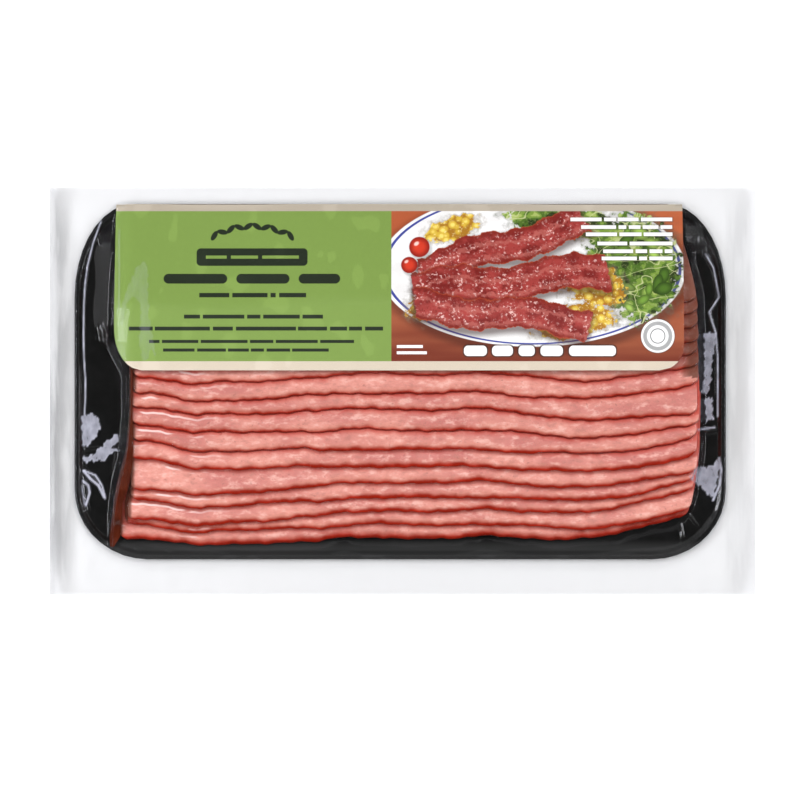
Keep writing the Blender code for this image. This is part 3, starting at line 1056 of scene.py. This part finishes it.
# Ridges that the film is pulled into: start, end, half width, height, in millimetres
CREASES = (
    (-116.7, 65.4, -121.8, 48.8, 0.5, 0.4),
    (-121.8, 48.8, -123.3, 35.2, 0.5, 0.4),
    (-123.3, 35.2, -123.5, -9.3, 0.5, 0.4),
    (-109.2, 60.0, -109.0, 34.0, 0.6, 0.35),
    (-101.0, 47.0, -104.4, 34.0, 0.9, 0.45),
    (-104.4, 34.0, -105.6, 20.0, 0.9, 0.4),
    (-101.0, 47.0, -99.4, 32.0, 0.9, 0.45),
    (-99.4, 32.0, -98.6, 13.0, 1.0, 0.45),
    (-108.0, 18.0, -107.6, -22.0, 0.5, 0.35),
    (-106.4, 16.0, -106.2, -14.0, 0.5, 0.3),
    (-122.6, -22.5, -112.0, -21.5, 0.6, 0.5),
    (-123.2, -25.0, -113.0, -26.5, 0.6, 0.4),
    (-123.3, -30.0, -119.0, -34.5, 0.9, 0.7),
    (-123.4, -31.0, -122.6, -40.0, 0.7, 0.6),
    (-122.6, -40.0, -121.3, -46.0, 0.6, 0.5),
    (-110.8, -24.0, -113.0, -42.0, 0.6, 0.25),
    (-113.0, -42.0, -114.4, -58.0, 0.6, 0.2),
    (117.5, 53.0, 120.6, 45.0, 0.6, 0.6),
    (120.8, 44.0, 121.9, 36.0, 0.6, 0.5),
    (121.9, 36.0, 118.6, 30.5, 0.6, 0.6),
    (118.6, 30.5, 121.3, 20.0, 0.6, 0.5),
    (121.3, 20.0, 121.4, -2.0, 0.5, 0.4),
    (115.0, -16.5, 121.6, -15.6, 0.7, 0.7),
    (114.5, -1.0, 115.2, -14.0, 0.5, 0.4),
    (109.0, -46.0, 114.0, -52.0, 0.7, 0.5),
    (107.5, -52.0, 108.5, -56.0, 0.6, 0.6),
    (-78.0, -61.5, -64.0, -62.6, 0.5, 0.3),
    (-103.0, -61.0, -98.0, -62.0, 0.6, 0.4),
    (-91.0, -61.5, -88.0, -62.0, 0.5, 0.3),
)


def ripples(x, y):
    """Faint waves all over the film."""
    rng = np.random.default_rng(5)
    total = 0.0
    for length in np.linspace(5.0, 15.0, 9) * MM:
        turn = rng.uniform(0.0, np.pi)
        along = (x * np.cos(turn) + 0.6 * y * np.sin(turn)) / length + rng.random()
        total = total + RIPPLE_SLOPE * length / (2 * np.pi) * np.sin(2 * np.pi * along)
    return total


def bubbles(x, y):
    """Small wet bumps in the film near the slices' left ends."""
    rng = np.random.default_rng(12)
    x, y = x / MM, y / MM
    total = np.zeros_like(x)
    for _ in range(BUBBLES):
        middle_x, middle_y = -103.0 + 38.0 * rng.random() ** 1.5, rng.uniform(-56.0, 6.0)
        reach = rng.uniform(0.6, 1.3)
        away = np.hypot((x - middle_x) / rng.uniform(1.2, 2.4), y - middle_y)
        total = np.maximum(total, BUBBLE_SLOPE * (reach - away))
    return total * MM


def facet_height(x, y):
    """Height of the film's flat faces over the tray's floor, and 0 where there are none."""
    x, y = x / MM, y / MM
    total = np.zeros_like(x)
    for left, right, front, rear, slope, ragged in FACETS:
        bent = x + 0.4 * np.sin(0.25 * y + left)
        rise = slope * (bent - (left if slope > 0 else right))
        feather = np.abs(np.sin(2.3 * bent + 0.3 * y)) + 0.6 * np.abs(np.sin(5.9 * bent - 0.2 * y + 1.0))
        low_end = smooth((y - front - ragged * feather) / (0.5 * ragged + 0.6))
        high_end = smooth((rear - 0.5 * ragged * feather - y) / (0.3 * ragged + 0.6))
        across = smooth((bent - left + 0.3) / 0.3) * smooth((right + 0.3 - bent) / 0.3)
        total = np.maximum(total, rise * low_end * high_end * across)
    return total * MM


def within(x, y, outline):
    """Whether points lie inside an outline."""
    inside = np.zeros(x.shape, bool)
    for (x0, y0), (x1, y1) in zip(outline, outline[1:] + outline[:1]):
        if y0 != y1:
            crosses = (y0 > y) != (y1 > y)
            inside ^= crosses & (x < x0 + (y - y0) * (x1 - x0) / (y1 - y0))
    return inside


def segment_distance(x, y, start, end):
    """Distance of points to a segment, and how far along it they are."""
    across, along = end[0] - start[0], end[1] - start[1]
    share = ((x - start[0]) * across + (y - start[1]) * along) / (across**2 + along**2)
    share = np.clip(share, 0.0, 1.0)
    return np.hypot(x - start[0] - share * across, y - start[1] - share * along), share


def glare_share(x, y):
    """Share of painted pale glare and bright lines on the film, with ragged outlines."""
    x, y = x / MM, y / MM
    bent_x = x + GLARE_RAG * (np.sin(1.7 * y + 0.4 * x) + 0.25 * np.sin(3.7 * y + x))
    bent_y = y + GLARE_RAG * (np.sin(2.1 * x) + 0.8 * np.sin(4.3 * x + 0.7 * y))
    total = np.zeros_like(x)
    for strength, outline in GLARE:
        total = np.maximum(total, strength * within(bent_x, bent_y, outline))
    for strength, half, points in GLINTS:
        for start, end in zip(points, points[1:]):
            away, _ = segment_distance(x, y, start, end)
            total = np.maximum(total, strength * smooth(1.6 - away / half))
    return total


def crease_height(x, y):
    """Height that the creases add to the film."""
    total = np.zeros_like(x)
    for x0, y0, x1, y1, half, height in CREASES:
        away, share = segment_distance(x / MM, y / MM, (x0, y0), (x1, y1))
        total = np.maximum(total, height * MM * (1.0 - 0.5 * share) * np.exp(-((away / half) ** 2)))
    return total


def inside_rim(x, y):
    """Where the film lies over the tray: an oblong whose corners are quarters of ellipses."""
    low, high = TRAY_BOX
    inside = (x > low.x) & (x < high.x) & (y > low.y) & (y < high.y)
    for (reach, depth), end_y, inward in ((FRONT_CORNER, low.y, 1), (REAR_CORNER, high.y, -1)):
        # How far outside the middles of the corners' ellipses, as a share of the ellipses
        across = np.maximum(low.x + reach - x, x - (high.x - reach)) / reach
        along = (end_y + inward * depth - y) * inward / depth
        inside &= np.maximum(across, 0.0) ** 2 + np.maximum(along, 0.0) ** 2 <= 1
    return inside


def film_place(across, along):
    """X and Y of these shares of the film's length and width."""
    low, high = FILM_BOX
    return low.x + (high.x - low.x) * across, low.y + (high.y - low.y) * along


def film_heights(sizes, contents):
    """The film's height on an even grid: it is pulled down all over and held up by what it covers."""
    size = FILM_BOX[1] - FILM_BOX[0]
    columns, rows = round(size.x / FILM_PITCH), round(size.y / FILM_PITCH)

    def place(column, row):
        x, y = film_place(column / columns, row / rows)
        return np.stack([x, y, np.full(len(x), FILM_CEILING)], axis=1)

    probe = add_grid("probe", columns, rows, place)
    add_modifier(
        probe,
        "SHRINKWRAP",
        target=contents,
        wrap_method="PROJECT",
        use_project_z=True,
        use_negative_direction=True,
        use_positive_direction=False,
    )
    points = points_of(probe)
    bpy.data.objects.remove(probe, do_unlink=True)
    order = np.lexsort((points[:, 0].round(6), points[:, 1].round(6)))
    points = points[order].reshape(rows + 1, columns + 1, 3)
    x, y, height = points[..., 0], points[..., 1], points[..., 2]
    margin = film_lift(x, y) + FILM_THICK
    # Points that met nothing are still at the ceiling
    held = np.where(height > FILM_CEILING - MM, margin, height + sizes.film_gap)
    held = np.maximum(held, margin)
    # In front of the slices the film is stretched to the rim
    pull = np.where(y < front_edge(0, x) - 0.5 * MM, FRONT_BAND_PULL, sizes.film_pull)
    return x[0], y[:, 0], settled(held, pull)


def settled(held, pull):
    """The film drawn down until its tension, and what it covers, hold it."""
    film = held.copy()
    for _ in range(FILM_ROUNDS):
        inner = 0.25 * (film[1:-1, :-2] + film[1:-1, 2:] + film[:-2, 1:-1] + film[2:, 1:-1])
        film[1:-1, 1:-1] = np.maximum(held[1:-1, 1:-1], inner - pull[1:-1, 1:-1])
    return film


def even_sample(xs, ys, heights, x, y):
    """Read the even grid at x, y."""
    across = np.clip((x - xs[0]) / (xs[1] - xs[0]), 0, len(xs) - 1.001)
    along = np.clip((y - ys[0]) / (ys[1] - ys[0]), 0, len(ys) - 1.001)
    i, j = across.astype(int), along.astype(int)
    s, t = across - i, along - j
    near = heights[j, i] * (1 - s) + heights[j, i + 1] * s
    far = heights[j + 1, i] * (1 - s) + heights[j + 1, i + 1] * s
    return near * (1 - t) + far * t


def film_finish():
    """Clear glossy film, a little milky where two sheets are sealed, with painted glare: pale patches and
    lines that stand in for reflections of the lights.
    """
    look = Finish("clear_film")
    x, y, _ = look.place()
    sheen = look.add("ShaderNodeFresnel", inputs={"IOR": 1.45})
    sealed = look.attribute("sealed")
    mottle = look.noise(420.0, 2.0, 0.5, (1.0, 0.6, 1.0))
    # Painted reflections of the lights: the stored glare, mottled, turns the film pale lavender and less
    # clear there
    glare = look.attribute("glare") * (0.35 + mottle * 1.3)
    painted_glare_cover = glare.rise(0.0, 0.04)
    # Cloudy streaks where the two sheets are sealed, mostly at the left end
    streaks = look.noise(150.0, 2.0, 0.5, (1.5, 0.2, 1.0))
    left_end = x.fall(-134.0, -124.0) * abs(y).fall(50.0, 92.0)
    right_end = x.rise(124.0, 128.0) * abs(y).fall(60.0, 90.0)
    cloud = 0.4 + streaks.fall(0.40, 0.62)
    milk = 0.14 + left_end * cloud * 0.22 + right_end * cloud * 0.07 + x.fall(-137.0, -131.0) * 0.12
    # What covers is either a clean mirror, or white milk, or painted glare
    clear = look.mix(sealed, (0.95, 0.95, 0.97), (0.25, 0.25, 0.255))
    return look.set(
        Base_Color=look.mix(painted_glare_cover, clear, (0.80, 0.81, 0.95)),
        Metallic=1.0 - sealed.most(painted_glare_cover),
        Roughness=0.07 + sealed * 0.2,
        Alpha=(sheen * look.attribute("gloss") + (sealed * milk).most(glare)).clamped(),
    )


def spaced_lines(ends, steps):
    """Grid lines from the first end to the last, about a step apart in each part."""
    parts = []
    for start, end, step in zip(ends, ends[1:], steps):
        parts.append(np.linspace(start, end, round((end - start) / step), endpoint=False))
    return np.concatenate([*parts, [ends[-1]]])


class PACK_OT_film(Operator):
    """Model the clear film as one closed bag, drawn down over what it holds"""

    bl_idname = "pack.film"
    bl_label = "Film"

    def execute(self, context):
        sizes = context.scene.pack_sizes
        clean_select(*[o for o in bpy.data.objects if o.name.startswith(CONTENTS)])
        bpy.ops.object.duplicate()
        bpy.ops.object.join()
        contents = bpy.context.object
        xs, ys, heights = film_heights(sizes, contents)
        bpy.data.objects.remove(contents, do_unlink=True)
        lines_x = spaced_lines(FILM_BREAKS_X, FILM_STEPS_X)
        lines_y = spaced_lines(FILM_BREAKS_Y, FILM_STEPS_Y)

        def top(column, row):
            x, y = lines_x[column], lines_y[row]
            z = even_sample(xs, ys, heights, x, y)
            loose = inside_rim(x, y) & ((x < LOOSE_ENDS[0]) | (x > LOOSE_ENDS[1]))
            z = np.where(loose, np.maximum(z, BED + facet_height(x, y)), z)
            rippled = np.where(loose, LOOSE_RIPPLES, 1.0) * ripples(x, y)
            z = z + crease_height(x, y) + rippled + bubbles(x, y)
            return np.stack([x, y, np.maximum(z, film_lift(x, y) + 0.7 * FILM_THICK)], axis=1)

        def bottom(column, row):
            x, y = film_place(column / FILM_BASE_GRID[0], row / FILM_BASE_GRID[1])
            return np.stack([x, y, film_lift(x, y)], axis=1)

        bag = add_grid("film_bag", len(lines_x) - 1, len(lines_y) - 1, top)
        base = add_grid("film_base", *FILM_BASE_GRID, bottom)
        edit(base, (bpy.ops.mesh.flip_normals, {}))
        clean_select(bag, base)
        bpy.ops.object.join()
        bpy.ops.object.mode_set(mode="EDIT")
        bpy.ops.mesh.select_all(action="DESELECT")
        bpy.ops.mesh.select_mode(type="EDGE")
        bpy.ops.mesh.select_non_manifold()
        bpy.ops.mesh.bridge_edge_loops()
        bpy.ops.mesh.select_all(action="SELECT")
        bpy.ops.mesh.normals_make_consistent(inside=False)
        bpy.ops.object.mode_set(mode="OBJECT")
        x, y, z = points_of(bag).T
        # The film mirrors less where it is sealed, and where it lies high on the slices and the card
        raised = smooth((even_sample(xs, ys, heights, x, y) - BED - 0.2 * MM) / (1.3 * MM))
        out = ~inside_rim(x, y)
        # Points of the lower sheet
        under = z < film_lift(x, y) + 0.3 * FILM_THICK
        store(bag, "sealed", out & ~under)
        # Painted glare and bright lines, on the upper sheet only
        store(bag, "glare", np.where(under, 0.0, glare_share(x, y)))
        store(bag, "gloss", np.select([under, out], [0.5, 0.3], 1.2 - 0.9 * raised))
        finish_piece(bag, film_finish(), ["film"], angle=70)
        return {"FINISHED"}


# The juice's outline at the left ends: Y, and X of its outer and its inner side, in millimetres
JUICE_OUTLINE = (
    (-60.2, -113.4, -111.6),
    (-56.0, -113.4, -109.0),
    (-50.0, -112.6, -108.6),
    (-44.0, -111.9, -108.0),
    (-36.0, -110.6, -105.4),
    (-28.0, -108.4, -103.9),
    (-22.0, -106.8, -103.5),
    (-8.0, -105.6, -103.8),
    (14.0, -105.6, -103.8),
)
# The width over which the juice rises to its full height, its room over the slices, its grid
JUICE_BANK = 1.2 * MM
JUICE_SKIN = 0.25 * MM
JUICE_GRID = (16, 90)


def juice_finish(colours):
    """Brown, streaky juice."""
    look = Finish("juice")
    streaks = look.noise(300.0, 3.0, 0.6, (2.2, 0.25, 1.0))
    tone = look.mix(streaks.rise(0.4, 0.75), colours.juice, scaled(colours.juice, 1.5))
    relief = look.bump(streaks, 0.3 * MM, 0.4)
    return look.set(Base_Color=tone, Roughness=0.4, Specular_IOR_Level=0.15, Normal=relief)


class PACK_OT_juice(Operator):
    """Model the brown juice that the film presses against the slices' ends"""

    bl_idname = "pack.juice"
    bl_label = "Juice"

    def execute(self, context):
        thickness = context.scene.pack_sizes.slice_thickness
        floor = BED - JUICE_SKIN
        stations, outers, inners = np.array(JUICE_OUTLINE).T * MM
        fronts = [float(front_edge(index, EDGE_STATIONS[0])) for index in range(SLICES)]
        columns, rows = JUICE_GRID

        def place(column, row):
            y = stations[0] + (stations[-1] - stations[0]) * row / rows
            outer, inner = np.interp(y, stations, outers), np.interp(y, stations, inners)
            x = outer + (inner - outer) * column / columns
            started = np.interp(y, fronts, np.arange(SLICES))
            top = layer_height(started - slices_ended(x, y), x, y) + thickness
            bank = np.maximum(JUICE_BANK, 0.35 * (inner - outer))
            share = np.sqrt(np.clip((x - outer) / bank, 0.0, 1.0))
            return np.stack([x, y, floor + (top + JUICE_SKIN - floor) * share], axis=1)

        obj = add_grid("juice_left", columns, rows, place)
        add_modifier(obj, "SOLIDIFY", thickness=0.3 * MM, offset=-1.0)
        finish_piece(obj, juice_finish(context.scene.pack_colours), [])
        return {"FINISHED"}


SOFTBOX_SIZE = (0.50, 0.24)
SOFTBOX_COLOUR = (0.93, 0.94, 1.0)
FLOOR_SIZE = 6.0
FLOOR_DROP = 0.3 * MM


def area_light(name, place, size, power, colour):
    """A soft box that is aimed at the pack."""
    clean_select()
    bpy.ops.object.light_add(type="AREA", location=place)
    light = bpy.context.object
    light.name = name
    light.data.shape = "RECTANGLE"
    light.data.size, light.data.size_y = size
    light.data.energy = power
    light.data.color = colour
    light.rotation_euler = Vector(place).to_track_quat("Z", "Y").to_euler()
    return light


def studio_world():
    """A pale studio that is dark overhead, where the camera hangs, and brightest low down."""
    world = bpy.data.worlds.new("studio")
    world.use_nodes = True
    tree = world.node_tree
    direction = add_node(tree, "ShaderNodeTexCoord")
    axes = add_node(tree, "ShaderNodeSeparateXYZ", inputs={"Vector": direction}).socket.node
    height = Wire(tree, axes.outputs[2])
    side = abs(Wire(tree, axes.outputs[0])).rise(0.15, 0.5)
    ring = height.rise(0.74, 0.80) * height.fall(0.91, 0.95)
    strength = 0.03 + height.fall(0.70, 0.9) * 0.06 + ring * (0.3 + side * 0.45)
    strength = strength + height.fall(0.0, 0.12) * 0.5
    background = tree.nodes["Background"]
    plug(tree, background.inputs["Strength"], strength)
    plug(tree, background.inputs["Color"], (1.0, 1.0, 1.0))
    return world


class PACK_OT_stage(Operator):
    """Add the floor, the soft lights and the camera that looks straight down"""

    bl_idname = "pack.stage"
    bl_label = "Stage"

    def execute(self, context):
        scene = context.scene
        clean_select()
        bpy.ops.mesh.primitive_plane_add(size=FLOOR_SIZE, location=(0.0, 0.0, -FLOOR_DROP))
        floor = bpy.context.object
        floor.name = "floor"
        look = Finish("floor")
        floor.data.materials.append(look.set(Base_Color=scene.pack_colours.floor, Roughness=0.9))
        area_light("left_box", (-0.62, -0.05, 0.52), SOFTBOX_SIZE, 3.6, SOFTBOX_COLOUR)
        area_light("right_box", (0.62, 0.0, 0.52), SOFTBOX_SIZE, 2.4, SOFTBOX_COLOUR)
        # A broad overhead light that the film doesn't mirror
        key = area_light("key", (0.0, 0.25, 1.38), (0.9, 0.9), 15.2, (1.0, 1.0, 1.0))
        key.visible_glossy = False
        scene.world = studio_world()
        bpy.ops.object.camera_add(
            location=(*VIEW_CENTRE, VIEW_WIDTH * LENS / SENSOR), rotation=(0.0, 0.0, 0.0)
        )
        camera = bpy.context.object
        camera.name = "camera"
        camera.data.lens = LENS
        camera.data.sensor_width = SENSOR
        camera.data.clip_end = 20.0
        scene.camera = camera
        scene.view_settings.view_transform = "Standard"
        return {"FINISHED"}


class PACK_PT_panel(Panel):
    """Lists the pack's sizes, colours and pieces"""

    bl_idname = "PACK_PT_panel"
    bl_label = "Bacon Pack"
    bl_space_type = "VIEW_3D"
    bl_region_type = "UI"
    bl_category = "Pack"

    def draw(self, context):
        for group in (context.scene.pack_sizes, context.scene.pack_colours):
            for name in group.__annotations__:
                self.layout.prop(group, name)
        for operator in OPERATORS:
            self.layout.operator(operator.bl_idname)


OPERATORS = (PACK_OT_stage, PACK_OT_tray, PACK_OT_slices, PACK_OT_label, PACK_OT_juice, PACK_OT_film)
CLASSES = (PackSizes, PackColours, *OPERATORS, PACK_PT_panel)


def register():
    for each in CLASSES:
        bpy.utils.register_class(each)
    bpy.types.Scene.pack_sizes = PointerProperty(type=PackSizes)
    bpy.types.Scene.pack_colours = PointerProperty(type=PackColours)


def unregister():
    del bpy.types.Scene.pack_colours
    del bpy.types.Scene.pack_sizes
    for each in reversed(CLASSES):
        bpy.utils.unregister_class(each)


def main():
    register()
    bpy.ops.pack.stage()
    bpy.ops.pack.tray()
    bpy.ops.pack.slices()
    bpy.ops.pack.label()
    bpy.ops.pack.juice()
    bpy.ops.pack.film()


if __name__ == "__main__":
    main()
